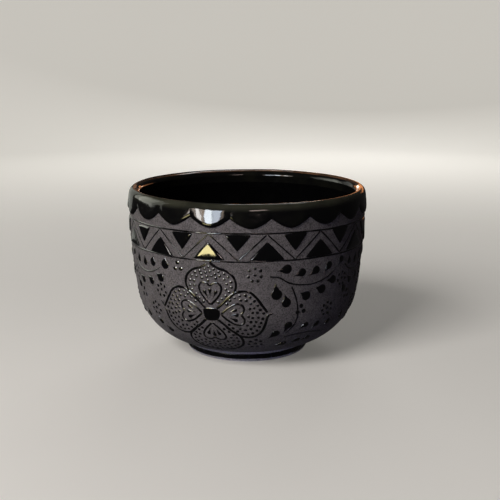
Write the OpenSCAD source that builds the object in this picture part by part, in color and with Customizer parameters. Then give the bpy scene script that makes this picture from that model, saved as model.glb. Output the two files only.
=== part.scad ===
// Footed bowl, thrown in dark clay that stays matte outside, with black glaze inside
// and over the lip. Raised glaze ornament is trailed on the wall: a scalloped collar,
// a zigzag band with triangles, and a frieze of flowers and vines that repeats.
// Millimetres, +Z up, the origin on the ground at the centre of the foot ring.
// Azimuth az is in degrees from the front, -Y, towards +X. Height up the wall is v,
// the arc length in mm from the joint with the foot.

/* [Bowl] */
// Largest radius of the clay wall
wall_r = 64.8; // [64:0.1:66]
// Height at which the wall is widest
widest_z = 80; // [79:0.5:81]
// Radius of the long, nearly straight arc of the wall in section
wall_arc_r = 288; // [280:1:300]
// Radius of the turn from the wall to the underside in section
knuckle_r = 34.8; // [34:0.1:36]
// Thickness of the clay wall
wall_t = 5.4; // [4.8:0.1:6]
// Height of the top of the clay lip
lip_z = 90.5; // [89.5:0.1:91.5]

/* [Foot] */
// Radius of the foot ring where it meets the bowl
foot_r = 35; // [34.5:0.1:36]
// Height of the foot ring
foot_h = 6; // [5.5:0.1:6.5]
// Radius of the foot ring on the ground, outside
foot_ground_r = 33.2; // [32.5:0.1:34]
// Radius of the foot ring, inside
foot_inner_r = 28.5; // [27:0.1:30]

/* [Glaze] */
// Thickness of the glaze coat inside the bowl
inner_glaze_t = 0.45; // [0.3:0.05:0.7]
// Thickness of the glaze coat over the lip
rim_glaze_t = 0.65; // [0.4:0.05:0.9]
// Thickness of the glaze band on the foot
foot_glaze_t = 0.35; // [0.2:0.05:0.5]
// Height of the glaze triangles above the clay
triangle_t = 0.6; // [0.4:0.05:0.65]
// Height of the trailed lines above the clay
line_t = 0.5; // [0.3:0.05:0.6]
// Height of a dot above the clay
dot_t = 0.55; // [0.3:0.05:0.7]

/* [Collar] */
// Number of scallops round the rim
scallops = 20; // [18:1:22]
// Azimuth of the cusp between two scallops
scallop_turn = -7.4; // [-9:0.1:9]
// Height up the wall of the lowest part of a scallop
scallop_v = 85.2; // [84.8:0.1:86]
// Radius of a scallop's arc
scallop_r = 12.6; // [12:0.1:13.5]

/* [Zigzag band] */
// Number of zigzag periods round the bowl
band_periods = 14; // [12:1:14]
// Height up the wall of the upper line
upper_line_v = 82.8; // [82.5:0.1:83]
// Height up the wall of the lower line
lower_line_v = 68.7; // [68:0.1:69]
// Width of the two lines
band_line_w = 0.9; // [0.7:0.1:1.1]
// Width of the zigzag between them
zigzag_w = 0.7; // [0.6:0.1:0.9]
// Width of a triangle that stands on the lower line
lower_triangle_w = 18; // [14:0.5:18]
// Height of a triangle that stands on the lower line
lower_triangle_h = 9.9; // [8:0.1:10]
// Width of a triangle that hangs from the upper line
upper_triangle_w = 13.4; // [10:0.1:14]
// Height of a triangle that hangs from the upper line
upper_triangle_h = 9.1; // [8:0.1:10]

/* [Flowers] */
// Number of flowers round the bowl
flowers = 3; // [1:1:3]
// Azimuth of the first flower
flower_turn = -17; // [-30:0.5:30]
// Height up the wall of a flower's centre
flower_v = 40.6; // [40:0.1:41]
// Width of the outline of a petal
petal_line_w = 1.25; // [0.8:0.05:1.3]
// Width of the outline of a heart
heart_line_w = 1.1; // [0.7:0.05:1.2]
// Radius of a dot
dot_r = 0.7; // [0.5:0.05:0.8]
// Distance between the dots of a row in a petal
dot_pitch = 3; // [2.8:0.1:3.5]
// Distance between the rows of dots in a petal
dot_row_gap = 2.2; // [2.1:0.1:2.6]

/* [Vines] */
// Width of a stem
stem_w = 0.75; // [0.5:0.05:0.9]
// Height of a leaf above the clay
leaf_t = 0.8; // [0.4:0.05:1]

/* [Hidden] */
$fn = 32;

clay = [0.35, 0.33, 0.32];
bare_clay = [0.45, 0.43, 0.41];
glaze = [0.05, 0.05, 0.05];
gloss = [0.12, 0.12, 0.13];

deg = 180 / PI;
tiny = 0.0001;
// Gap between neighbouring strips of glaze, so that they do not touch
clearance = 0.05;
// The foot ring tucks in by this much under the bowl
foot_tuck = 0.5;
// How far down inside the lip the rim coat ends and the inner coat begins
rim_depth = 4;

// The section of the wall: a long arc round [wall_x, widest_z] runs down into a short
// arc round knuckle, tangent to it, which ends where the foot ring begins.
wall_x = wall_r - wall_arc_r;
arc_gap = wall_arc_r - knuckle_r;
foot_reach = norm([foot_r - wall_x, widest_z - foot_h]);
foot_bearing = atan2(widest_z - foot_h, foot_r - wall_x);
join_tilt = foot_bearing
    - acos((arc_gap^2 + foot_reach^2 - knuckle_r^2) / (2 * arc_gap * foot_reach));
knuckle = [wall_x + arc_gap * cos(join_tilt), widest_z - arc_gap * sin(join_tilt)];
foot_tilt = atan2(knuckle.y - foot_h, foot_r - knuckle.x);
knuckle_len = knuckle_r * (foot_tilt - join_tilt) / deg;

lip_r = wall_t / 2;
lip_tilt = -asin((lip_z - lip_r - widest_z) / (wall_arc_r - lip_r));
lip_v = knuckle_len + wall_arc_r * (join_tilt - lip_tilt) / deg;
floor_v = -knuckle_r * (90 - foot_tilt) / deg;
floor_z = knuckle.y - knuckle_r + wall_t;

// How far the wall's outward direction points below level at height v
function tilt(v) = v < knuckle_len
    ? foot_tilt - v / knuckle_r * deg
    : join_tilt - (v - knuckle_len) / wall_arc_r * deg;

// Radius and height of the point that lies h outside the clay at height v
function wall_point(v, h = 0) =
    let (a = tilt(v), in_knuckle = v < knuckle_len)
    let (centre = in_knuckle ? knuckle : [wall_x, widest_z])
    let (r = (in_knuckle ? knuckle_r : wall_arc_r) + h)
    centre + r * [cos(a), -sin(a)];

function on_wall(az, v, h = 0) =
    let (p = wall_point(v, h))
    [p.x * sin(az), -p.x * cos(az), p.y];

// A step of dx mm round the wall, as an angle at height v
function turn(dx, v) = dx / wall_point(v).x * deg;

function between(a, b, steps) = [for (i = [0:steps]) a + (b - a) * i / steps];
function reversed(list) = [for (i = [len(list) - 1:-1:0]) list[i]];
function unit(p) = p / max(norm(p), tiny);
function left_of(p) = [-p.y, p.x];
function rotated(p, a) = [p.x * cos(a) - p.y * sin(a), p.x * sin(a) + p.y * cos(a)];

// Steps of the section under the foot ring, round the knuckle, up the wall and over the lip
UNDER_STEPS = 3;
KNUCKLE_STEPS = 16;
WALL_STEPS = 8;
LIP_STEPS = 12;
SHORTEST_STEP = 0.5;

// Heights of the section's corners, closer together where it turns faster
function section_heights(low, high) =
    let (all = concat(
        between(floor_v, 0, UNDER_STEPS),
        between(0, knuckle_len, KNUCKLE_STEPS),
        between(knuckle_len, lip_v, WALL_STEPS)
    ))
    concat([low], [for (v = all) if (v > low + SHORTEST_STEP && v < high - SHORTEST_STEP) v], [high]);

function wall_line(low, high, h = 0) = [for (v = section_heights(low, high)) wall_point(v, h)];

function lip_line(h = 0) =
    let (centre = wall_point(lip_v, -lip_r))
    [for (a = between(0, 180, LIP_STEPS))
        centre + (lip_r + h) * [cos(a - lip_tilt), sin(a - lip_tilt)]];

// Curve through the points, with steps straight pieces between each two
function curve(points, steps) =
    let (last = len(points) - 1)
    concat([for (i = [0:last - 1], k = [0:steps - 1])
        let (
            t = k / steps,
            a = points[max(i - 1, 0)],
            b = points[i],
            c = points[i + 1],
            d = points[min(i + 2, last)]
        )
        b + (c - a) * t / 2
            + (2 * a - 5 * b + 4 * c - d) * t^2 / 2
            + (3 * b - a - 3 * c + d) * t^3 / 2
    ], [points[last]]);

// Length along a line up to each of its points
function lengths(line) =
    let (last = len(line) - 1)
    [for (i = 0, s = 0; i <= last; s = s + norm(line[min(i + 1, last)] - line[i]), i = i + 1) s];

// A mesh is [points, faces]. This joins the meshes of separate pieces into one.
function joined(meshes) =
    let (starts = [for (i = 0, n = 0; i < len(meshes); n = n + len(meshes[i][0]), i = i + 1) n])
    [
        [for (m = meshes) each m[0]],
        [for (i = [0:len(meshes) - 1]) for (f = meshes[i][1]) [for (k = f) k + starts[i]]]
    ];

module pieces(meshes) {
    mesh = joined(meshes);
    polyhedron(points = mesh[0], faces = mesh[1]);
}

// Cross-section of a trailed line: across in half widths, and up in heights
BEAD = [[-1, 0], [-0.5, 1], [0.5, 1], [1, 0]];
END_TAPER = 0.45;
// The sharpest bend at which a line still keeps its full width
SHARP_BEND = 0.6;

// Trailed line along a path of [az, v], which lies on the clay
function trail(path, width, height, closed = false) =
    let (
        n = len(path),
        m = len(BEAD),
        rings = closed ? n : n - 1,
        leg = function (i, j)
            unit([
                (path[j].x - path[i].x) / deg * wall_point(path[i].y).x,
                path[j].y - path[i].y
            ]),
        before = function (i) closed ? (i + n - 1) % n : max(i - 1, 0),
        after = function (i) closed ? (i + 1) % n : min(i + 1, n - 1)
    )
    [
        [for (i = [0:n - 1])
            let (
                ahead = leg(i, after(i)),
                behind = leg(before(i), i),
                d1 = left_of(norm(behind) > 0 ? behind : ahead),
                d2 = left_of(norm(ahead) > 0 ? ahead : behind),
                side = unit(d1 + d2),
                mitre = 1 / max(SHARP_BEND, side * d1),
                taper = closed || (i > 0 && i < n - 1) ? 1 : END_TAPER,
                half = width / 2 * mitre * taper
            )
            for (s = BEAD)
                on_wall(path[i].x + turn(side.x * s.x * half, path[i].y),
                        path[i].y + side.y * s.x * half,
                        s.y * height * (taper + 1) / 2)
        ],
        concat(
            [for (i = [0:rings - 1], j = [0:m - 1])
                let (
                    a = i * m + j,
                    b = i * m + (j + 1) % m,
                    c = (i + 1) % n * m + (j + 1) % m,
                    d = (i + 1) % n * m + j
                )
                each [[a, b, c], [a, c, d]]
            ],
            closed ? [] : [[3, 2, 1], [3, 1, 0]],
            closed ? [] : [for (f = [[0, 1, 2], [0, 2, 3]]) [for (k = f) k + (n - 1) * m]]
        )
    ];

// The shoulder of a mound: how much of its outline and of its height it has
SHOULDER_SIZE = 0.62;
SHOULDER_RISE = 0.8;

// Low mound of glaze on the clay, with a closed outline in mm round [az, v]
function mound(az, v, outline, height) =
    let (
        n = len(outline),
        middle = [for (k = [0, 1]) [for (p = outline) p[k]] * [for (p = outline) 1] / n],
        place = function (p, h) on_wall(az + turn(p.x, v + p.y), v + p.y, h)
    )
    [
        concat(
            [for (p = outline) place(p, 0)],
            [for (p = outline) place(middle + (p - middle) * SHOULDER_SIZE, height * SHOULDER_RISE)],
            [place(middle, 0), place(middle, height)]
        ),
        [for (i = [0:n - 1])
            let (j = (i + 1) % n)
            each [[i, n + i, j], [j, n + i, n + j], [n + i, 2 * n + 1, n + j], [i, j, 2 * n]]
        ]
    ];

// Outline of a drop: a round head at the origin, drawn out to a tip at the given angle
function drop(angle, reach, head, sides = 10) =
    let (
        flank = acos(head / reach),
        round_end = [for (a = between(flank, 360 - flank, sides - 2)) head * [cos(a), sin(a)]]
    )
    [for (p = concat([[reach, 0]], round_end)) rotated(p, angle)];

// Share of a dot's radius that its top has
DOT_TOP = 0.5;

// A dot of glaze, its axis square to the wall
module dot(az, v, r) {
    p = on_wall(az, v);
    translate(p) rotate([90 + tilt(v), 0, az])
        cylinder(h = dot_t, r1 = r, r2 = r * DOT_TOP);
}

// Each flower has its own copy of the frieze, one repeat wide
repeats = [for (i = [0:flowers - 1]) flower_turn + i * 360 / flowers];

// ---- Clay ----

module clay_body() {
    outer = wall_line(0, lip_v);
    inner = reversed(wall_line(floor_v, lip_v, -wall_t));
    lip = lip_line();
    color(clay)
        rotate_extrude()
            polygon(concat(
                [[0, foot_h]],
                outer,
                [for (i = [1:len(lip) - 2]) lip[i]],
                inner,
                [[0, floor_z]]
            ));
}

module foot_ring() {
    edge = 0.7;
    color(bare_clay)
        rotate_extrude()
            polygon([
                [foot_inner_r - foot_tuck, foot_h],
                [foot_inner_r, edge],
                [foot_inner_r + edge, 0],
                [foot_ground_r - edge, 0],
                foot_side(edge),
                foot_side(foot_h - foot_neck),
                [foot_r, foot_h]
            ]);
}

// The outside of the foot ring leans out from the ground to just under the bowl
foot_neck = 1;
function foot_side(z) =
    [foot_ground_r + (foot_r - foot_tuck - foot_ground_r) * z / (foot_h - foot_neck), z];

foot_glaze_z = [1.5, 4.6];

module foot_glaze_band() {
    low = foot_side(foot_glaze_z[0]);
    high = foot_side(foot_glaze_z[1]);
    rounding = 0.4;
    color(glaze)
        rotate_extrude()
            polygon([low, low + [foot_glaze_t, rounding], high + [foot_glaze_t, -rounding], high]);
}

// ---- Glaze coats ----

rim_overlap_v = lip_v - rim_depth;

module interior_glaze() {
    clay_side = wall_line(floor_v, rim_overlap_v, -wall_t);
    free_side = reversed(wall_line(floor_v, rim_overlap_v, -wall_t - inner_glaze_t));
    color(glaze)
        rotate_extrude()
            polygon(concat([[0, floor_z]], clay_side, free_side, [[0, floor_z + inner_glaze_t]]));
}

module rim_glaze() {
    // A little above the arcs' lowest points, so that the gaps between scallops stay apart
    arc_trim = 0.1;
    collar_v = scallop_v + arc_trim;
    clay_side = concat(
        wall_line(collar_v, lip_v),
        lip_line(),
        reversed(wall_line(rim_overlap_v, lip_v, -wall_t))
    );
    free_side = concat(
        wall_line(collar_v + rim_glaze_t / 2, lip_v, rim_glaze_t),
        lip_line(rim_glaze_t),
        reversed(wall_line(rim_overlap_v, lip_v, -wall_t - rim_glaze_t))
    );
    color(glaze)
        difference() {
            rotate_extrude() polygon(concat(thinned(clay_side), reversed(thinned(free_side))));
            for (i = [0:scallops - 1])
                rotate([0, 0, scallop_turn + i * 360 / scallops]) scallop_gap();
        }
}

// The same line with no two neighbouring points in one place
function thinned(line) =
    [for (i = [0:len(line) - 1])
        if (i == 0 || norm(line[i] - line[i - 1]) > tiny) line[i]];

// What is cut from the collar between two scallops
module scallop_gap() {
    half_turn = 180 / scallops;
    half_gap = wall_r * sin(half_turn);
    low_z = wall_point(scallop_v).y;
    top_z = low_z + scallop_r * (1 - cos(asin(half_gap / scallop_r)));
    depth = 4;
    margin = 2;
    difference() {
        translate([-half_gap, -wall_r - depth / 2, low_z - margin])
            cube([2 * half_gap, depth, top_z - low_z + 2 * margin]);
        for (side = [-1, 1])
            rotate([0, 0, side * half_turn])
                translate([0, 0, low_z + scallop_r])
                    rotate([90, 0, 0])
                        cylinder(h = wall_r + depth, r = scallop_r);
        translate([-wall_r, -wall_r - depth, top_z])
            cube([2 * wall_r, 2 * wall_r, 2 * margin]);
    }
}

// ---- Zigzag band ----

band_turns = [for (i = [0:band_periods - 1]) flower_turn + i * 360 / band_periods];
half_period = 180 / band_periods;

module band_line(v) {
    half = band_line_w / 2;
    color(gloss)
        rotate_extrude()
            polygon([
                wall_point(v - half),
                wall_point(v - half / 2, line_t),
                wall_point(v + half / 2, line_t),
                wall_point(v + half)
            ]);
}

module upper_band_line() {
    band_line(upper_line_v);
}

module lower_band_line() {
    band_line(lower_line_v);
}

module zigzag_line() {
    inset = band_line_w + clearance;
    low = lower_line_v + inset;
    high = upper_line_v - inset;
    legs = 3;
    path = [for (az = band_turns, k = [0:2 * legs - 1])
        [az + k / legs * half_period, high - (high - low) * (k < legs ? k : 2 * legs - k) / legs]];
    color(gloss)
        pieces([trail(path, zigzag_w, line_t, closed = true)]);
}

// Shell of the triangles' thickness, between the two lines
module band_shell() {
    inset = band_line_w / 2 + clearance;
    heights = between(lower_line_v + inset, upper_line_v - inset, 3);
    rotate_extrude()
        polygon(concat(
            [for (v = heights) wall_point(v)],
            reversed([for (v = heights) wall_point(v, triangle_t)])
        ));
}

// Triangular prism that points out from the axis, base at height v and apex rise above it
module triangle_prism(az, v, width, rise) {
    z = wall_point(v).y;
    reach = 8;
    rotate([0, 0, az])
        translate([0, -wall_r + reach / 2, 0])
            rotate([90, 0, 0])
                linear_extrude(reach)
                    polygon([[-width / 2, z], [width / 2, z], [0, z + rise]]);
}

module upper_triangles() {
    color(glaze)
        intersection() {
            band_shell();
            union() {
                for (az = band_turns)
                    triangle_prism(
                        az + half_period, upper_line_v, upper_triangle_w, -upper_triangle_h
                    );
            }
        }
}

module lower_triangles() {
    color(glaze)
        intersection() {
            band_shell();
            union() {
                for (az = band_turns)
                    triangle_prism(az, lower_line_v, lower_triangle_w, lower_triangle_h);
            }
        }
}

// ---- Flowers ----
// A petal is drawn pointing up from the flower's centre, and turned to its place.

// One side of a petal, from the flower's centre to the petal's tip
SHORT_SIDE = [
    [3.5, 3.6], [6.3, 6.1], [9.4, 8.9], [12.2, 12.2], [13.3, 16.2],
    [12, 20.4], [8.6, 23.2], [4.4, 24.6], [0.7, 27]
];
SLIM_SIDE = [
    [3.5, 3.8], [6.2, 6.2], [9.2, 9], [11.8, 12.4], [12.8, 16.4],
    [12.2, 20], [9.6, 23], [5.6, 25.6], [0.7, 28.6]
];
FULL_SIDE = [
    [3.5, 3.9], [6.9, 7.2], [10.4, 10.3], [13.2, 13.4], [14.2, 17],
    [13.4, 20.8], [10.8, 24], [6.4, 26.6], [0.7, 28.6]
];
// One side of the heart inside it, from the tip near the centre round a lobe to the notch
HEART_SIDE = [
    [0, 4.9], [1.8, 6.8], [3.7, 9], [5.4, 11.8], [5.9, 14.3],
    [4.8, 16.3], [2.8, 16.8], [0.9, 15.9], [0, 14.7]
];
// The centre that the rows of dots close in on
PETAL_HEART = [0, 15.5];
// The second side's first point, beside the next petal's first side, and its shift from there
SHARED_SIDE = 3;
SIDE_START = [0.3, 0.9];
// Where the second side stops short of the first at the tip, in widths of the line
TIP_GAP = [0.9, 0.45];

// Petals as [angle, its right side, its left side, the flick that carries its outline past the tip]
TOP_PETAL = [0, SHORT_SIDE, SHORT_SIDE, [[1.2, 28.4], [2.6, 28.5], [3.4, 27.2]]];
RIGHT_PETAL = [-90, FULL_SIDE, SLIM_SIDE, [[-0.1, 30], [-0.7, 31.6]]];
BOTTOM_PETAL = [180, FULL_SIDE, FULL_SIDE, [[0.3, 29.4], [-0.6, 30.2]]];
LEFT_PETAL = [90, SLIM_SIDE, FULL_SIDE, [[1.2, 29.8], [3, 31.8]]];

function mirrored(line) = [for (p = line) [-p.x, p.y]];

// Takes points of a petal at the given angle to the wall, round the flower at az
function to_wall(line, angle, az) =
    [for (q = line) let (p = rotated(q, angle)) [az + turn(p.x, flower_v + p.y), flower_v + p.y]];

function petal_outline(petal, az) =
    let (
        side = petal[2],
        first = curve(concat(petal[1], petal[3]), 2),
        second = curve(mirrored([for (i = [SHARED_SIDE:len(side) - 1]) side[i]]), 2),
        apart = [for (i = [0:len(second) - 2]) second[i] + (i == 0 ? SIDE_START : [0, 0])],
        whole = concat(apart, [second[len(second) - 1] - petal_line_w * TIP_GAP])
    )
    [for (line = [first, whole])
        trail(to_wall(line, petal[0], az), petal_line_w, line_t)];

function heart_outline(angle, az) =
    let (
        back = reversed(mirrored(HEART_SIDE)),
        whole = concat(HEART_SIDE, [for (i = [1:len(back) - 2]) back[i]])
    )
    trail(to_wall(whole, angle, az), heart_line_w, line_t, closed = true);

// Three seeds in the heart, with long tails that meet near its tip
SEEDS = [[-2.9, 12.2], [0, 13], [2.9, 12.2]];
SEED_AIM = [0, 5.5];
SEED_LEN = 4.6;
SEED_R = 0.85;

function heart_seeds(angle, az) =
    [for (seed = SEEDS)
        let (
            p = rotated(seed, angle),
            tail = rotated(SEED_AIM - seed, angle)
        )
        mound(
            az + turn(p.x, flower_v + p.y),
            flower_v + p.y,
            drop(atan2(tail.y, tail.x), SEED_LEN, SEED_R, sides = 8),
            line_t
        )];

module petal_outlines(petal) {
    color(glaze)
        pieces([for (az = repeats) each petal_outline(petal, az)]);
}

module hearts(petal) {
    color(glaze)
        pieces([for (az = repeats) heart_outline(petal[0], az)]);
}

module seeds(petal) {
    color(glaze)
        pieces([for (az = repeats) each heart_seeds(petal[0], az)]);
}

module flower_centres() {
    half = [3.4, 3];
    squareness = 0.6;
    corner = function (c) sign(c) * abs(c)^squareness;
    outline = [for (i = [0:15])
        let (a = i * 360 / 16)
        [half.x * corner(cos(a)), half.y * corner(sin(a))]];
    color(glaze)
        pieces([for (az = repeats) mound(az, flower_v, outline, leaf_t)]);
}

// ---- Dots ----

function crossings(p, line) =
    len([for (i = [0:len(line) - 1])
        let (a = line[i], b = line[(i + 1) % len(line)])
        if ((a.y > p.y) != (b.y > p.y))
            if (p.x < a.x + (b.x - a.x) * (p.y - a.y) / (b.y - a.y)) i]);

function inside(p, line) = crossings(p, line) % 2 == 1;

function distance(p, line) =
    min([for (i = [0:len(line) - 1])
        let (
            a = line[i],
            b = line[(i + 1) % len(line)],
            t = min(1, max(0, (p - a) * (b - a) / max((b - a) * (b - a), tiny)))
        )
        norm(p - a - (b - a) * t)]);

// Points a pitch apart along a closed line
function spaced(line, pitch, start) =
    let (
        ring = concat(line, [line[0]]),
        s = lengths(ring),
        total = s[len(s) - 1],
        count = max(1, round(total / pitch)),
        across = [for (i = [0:len(ring) - 1]) [s[i], ring[i].x]],
        along = [for (i = [0:len(ring) - 1]) [s[i], ring[i].y]]
    )
    [for (k = [0:count - 1])
        let (t = (k + start) * total / count)
        [lookup(t, across), lookup(t, along)]];

DOT_ROWS = 4;
// Clear space between the dots and the lines round them, and a bit more outside the first row
EDGE_SPACE = 0.7;
HEART_SPACE = 0.3;
ROW_SPACE = 0.4;

// Rows of dots that follow the petal's outline inwards, and leave the heart clear
function dot_rows(petal) =
    let (
        edge = concat(curve(petal[1], 3), reversed(mirrored(curve(petal[2], 3)))),
        heart = concat(HEART_SIDE, reversed(mirrored(HEART_SIDE))),
        half_length = PETAL_HEART.y - edge[0].y,
        from_edge = dot_r + EDGE_SPACE,
        from_heart = dot_r + heart_line_w / 2 + HEART_SPACE
    )
    [for (k = [0:DOT_ROWS - 1])
        let (
            shrink = 1 - (dot_row_gap * k + from_edge + ROW_SPACE) / half_length,
            row = [for (q = edge) PETAL_HEART + (q - PETAL_HEART) * shrink]
        )
        for (p = spaced(row, dot_pitch, k % 2 == 0 ? 0.5 : 0))
            if (!inside(p, heart) && distance(p, heart) > from_heart && distance(p, edge) > from_edge)
                p];

module petal_dots(petal) {
    color(glaze)
        for (az = repeats, p = to_wall(dot_rows(petal), petal[0], az))
            dot(p.x, p.y, dot_r);
}

// Places of groups of dots in the frieze: [az from the flower, v]
ROSETTES = [[20.6, 61.9], [92.1, 49.4], [85.5, 38.1], [59.4, 39.7], [68.2, 54.6], [21.6, 20.7]];
TRIOS = [[43.2, 41.8], [75, 44.4], [104, 64]];
ROSETTE_DOTS = 7;
ROSETTE_R = 3.3;
TRIO_DOTS = 3;
TRIO_R = 2.1;
// The dots of a group of three are larger than the others
TRIO_DOT_SIZE = 1.35;

function ring_of_dots(place, count, radius, az) =
    [for (i = [0:count - 1])
        let (a = 90 + i * 360 / count)
        [az + place.x + turn(radius * cos(a), place.y), place.y + radius * sin(a)]];

module dot_rosettes() {
    color(glaze)
        for (az = repeats, place = ROSETTES) {
            dot(az + place.x, place.y, dot_r);
            for (p = ring_of_dots(place, ROSETTE_DOTS, ROSETTE_R, az))
                dot(p.x, p.y, dot_r);
        }
}

module dot_trios() {
    color(glaze)
        for (az = repeats, place = TRIOS, p = ring_of_dots(place, TRIO_DOTS, TRIO_R, az))
            dot(p.x, p.y, dot_r * TRIO_DOT_SIZE);
}

// ---- Vines ----
// Stems are points [az from the flower, v] on a smooth curve.

WAVE_STEMS = [
    [
        [27.1, 60.8], [31.6, 60], [36.4, 56.9], [42.6, 55.3],
        [48.5, 55.1], [54.8, 56.5], [59.5, 58.7], [63.4, 62]
    ],
    [[69.5, 62.2], [72.6, 59.6], [77, 57.8], [83.2, 57.6], [88.7, 59.4], [93.2, 62]]
];
DROP_STEM = [[37.5, 55], [39.4, 50.6], [41, 45.5], [41.8, 40], [41.6, 36.2], [40.2, 32.3], [37, 27.8]];
LOW_STEM = [[36.5, 25], [42, 26.3], [49, 26.6], [57, 25.6], [64, 23.6]];

// Leaves are [az from the flower, v, angle of the tip, reach of the tip, radius of the head]
CREST_LEAVES = [
    [35, 64.3, 193, 4.6, 2.2], [42.5, 61.9, 200, 4.2, 1.9], [50, 62.2, 213, 4.9, 1.9],
    [57.7, 63.6, 226, 4.6, 1.8],
    [73.8, 62.8, 96, 3.1, 1.6], [80.5, 62.4, 89, 3.2, 1.7], [87.5, 63.6, 81, 3.2, 2]
];
HANGING_LEAVES = [
    [45.5, 49.1, 150, 3.9, 2.2], [54.3, 51.4, 171, 4.2, 2.2], [61.1, 55.3, 184, 4.2, 2],
    [71, 48.4, 120, 3.2, 1.8], [76.5, 52, 141, 3.8, 1.7],
    [84.8, 53, 146, 3.8, 1.9], [92.4, 56.2, 155, 3.7, 2.1]
];
SIDE_LEAVES = [
    [30.6, 51.2, 98, 5.5, 2.5], [35.5, 46.4, 102, 4.6, 2.2],
    [37.6, 33.4, 246, 4.3, 1.9], [31.7, 28.5, 228, 4.8, 1.9]
];
LOW_LEAVES = [
    [47.7, 32.2, 211, 4, 1.5], [55, 31.5, 217, 3.9, 1.5], [63.4, 31, 221, 3.6, 1.5],
    [74.7, 31.7, 100, 3.4, 1.4], [85.4, 29.6, 112, 3.2, 1.6], [91, 25.2, 135, 3.2, 1.6]
];
BASE_LEAVES = [[38, 19, 201, 4.4, 1.7], [46.4, 20.6, 197, 4, 1.6], [53.2, 21.6, 210, 3.4, 1.4]];
VINE_TIPS = [[66.3, 65.3, 230, 3.4, 1.7], [96.2, 63.9, 84, 3.4, 2.3]];

function leaf(place, az) =
    mound(az + place[0], place[1], drop(place[2], place[3], place[4]), leaf_t);

module leaves(places) {
    color(glaze)
        pieces([for (az = repeats, place = places) leaf(place, az)]);
}

module stems(lines) {
    color(gloss)
        pieces([for (az = repeats, line = lines)
            trail([for (p = curve(line, 2)) [az + p.x, p.y]], stem_w, line_t)]);
}

clay_body();
foot_ring();
foot_glaze_band();
interior_glaze();
rim_glaze();
upper_band_line();
lower_band_line();
zigzag_line();
upper_triangles();
lower_triangles();
flower_centres();
petal_outlines(TOP_PETAL);  // top_petal_outlines
petal_outlines(RIGHT_PETAL);  // right_petal_outlines
petal_outlines(BOTTOM_PETAL);  // bottom_petal_outlines
petal_outlines(LEFT_PETAL);  // left_petal_outlines
hearts(TOP_PETAL);  // top_hearts
hearts(RIGHT_PETAL);  // right_hearts
hearts(BOTTOM_PETAL);  // bottom_hearts
hearts(LEFT_PETAL);  // left_hearts
seeds(TOP_PETAL);  // top_heart_seeds
seeds(RIGHT_PETAL);  // right_heart_seeds
seeds(BOTTOM_PETAL);  // bottom_heart_seeds
seeds(LEFT_PETAL);  // left_heart_seeds
petal_dots(TOP_PETAL);  // top_petal_dots
petal_dots(RIGHT_PETAL);  // right_petal_dots
petal_dots(BOTTOM_PETAL);  // bottom_petal_dots
petal_dots(LEFT_PETAL);  // left_petal_dots
stems(WAVE_STEMS);  // wave_stems
stems([DROP_STEM]);  // drop_stems
stems([LOW_STEM]);  // low_stems
leaves(CREST_LEAVES);  // crest_leaves
leaves(HANGING_LEAVES);  // hanging_leaves
leaves(SIDE_LEAVES);  // side_leaves
leaves(LOW_LEAVES);  // low_leaves
leaves(BASE_LEAVES);  // base_leaves
leaves(VINE_TIPS);  // vine_tip_drops
dot_rosettes();
dot_trios();
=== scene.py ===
"""Footed black clay bowl with raised black glaze: a smooth, detailed piece for each CAD node."""

import math

import bpy
import numpy as np
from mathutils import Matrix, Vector


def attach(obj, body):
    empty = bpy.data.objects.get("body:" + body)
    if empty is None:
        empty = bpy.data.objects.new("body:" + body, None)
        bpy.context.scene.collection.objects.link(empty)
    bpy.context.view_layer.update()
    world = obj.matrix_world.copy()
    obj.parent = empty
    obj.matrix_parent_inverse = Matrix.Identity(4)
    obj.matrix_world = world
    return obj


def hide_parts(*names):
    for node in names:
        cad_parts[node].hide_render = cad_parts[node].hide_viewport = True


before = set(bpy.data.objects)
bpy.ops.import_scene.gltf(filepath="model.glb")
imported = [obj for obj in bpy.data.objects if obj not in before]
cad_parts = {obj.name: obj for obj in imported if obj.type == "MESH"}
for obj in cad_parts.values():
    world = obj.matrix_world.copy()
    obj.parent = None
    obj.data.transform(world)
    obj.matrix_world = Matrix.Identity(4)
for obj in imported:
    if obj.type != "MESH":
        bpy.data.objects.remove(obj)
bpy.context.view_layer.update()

rng = np.random.default_rng(20)
MM = 0.001

# ------------------------------------------------------------------------------------------
# The bowl's section, in millimetres, as in the CAD model. az is degrees from -Y towards +X,
# v is the arc length up the outside of the wall from the joint with the foot.
# ------------------------------------------------------------------------------------------
WALL_R, WIDEST_Z, WALL_ARC_R, KNUCKLE_R = 64.8, 80.0, 288.0, 34.8
WALL_T, LIP_Z = 5.4, 90.5
FOOT_R, FOOT_H, FOOT_GROUND_R, FOOT_INNER_R = 35.0, 6.0, 33.2, 28.5
INNER_GLAZE_T = 0.45

WALL_X = WALL_R - WALL_ARC_R
ARC_GAP = WALL_ARC_R - KNUCKLE_R
_reach = math.hypot(FOOT_R - WALL_X, WIDEST_Z - FOOT_H)
_bearing = math.atan2(WIDEST_Z - FOOT_H, FOOT_R - WALL_X)
JOIN_TILT = _bearing - math.acos((ARC_GAP**2 + _reach**2 - KNUCKLE_R**2) / (2 * ARC_GAP * _reach))
KNUCKLE_X = WALL_X + ARC_GAP * math.cos(JOIN_TILT)
KNUCKLE_Z = WIDEST_Z - ARC_GAP * math.sin(JOIN_TILT)
FOOT_TILT = math.atan2(KNUCKLE_Z - FOOT_H, FOOT_R - KNUCKLE_X)
KNUCKLE_LEN = KNUCKLE_R * (FOOT_TILT - JOIN_TILT)
LIP_R = WALL_T / 2
LIP_TILT = -math.asin((LIP_Z - LIP_R - WIDEST_Z) / (WALL_ARC_R - LIP_R))
LIP_V = KNUCKLE_LEN + WALL_ARC_R * (JOIN_TILT - LIP_TILT)
LIP_LEN = math.pi * LIP_R
FLOOR_V = -KNUCKLE_R * (math.pi / 2 - FOOT_TILT)
FLOOR_Z = KNUCKLE_Z - KNUCKLE_R + WALL_T


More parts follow.
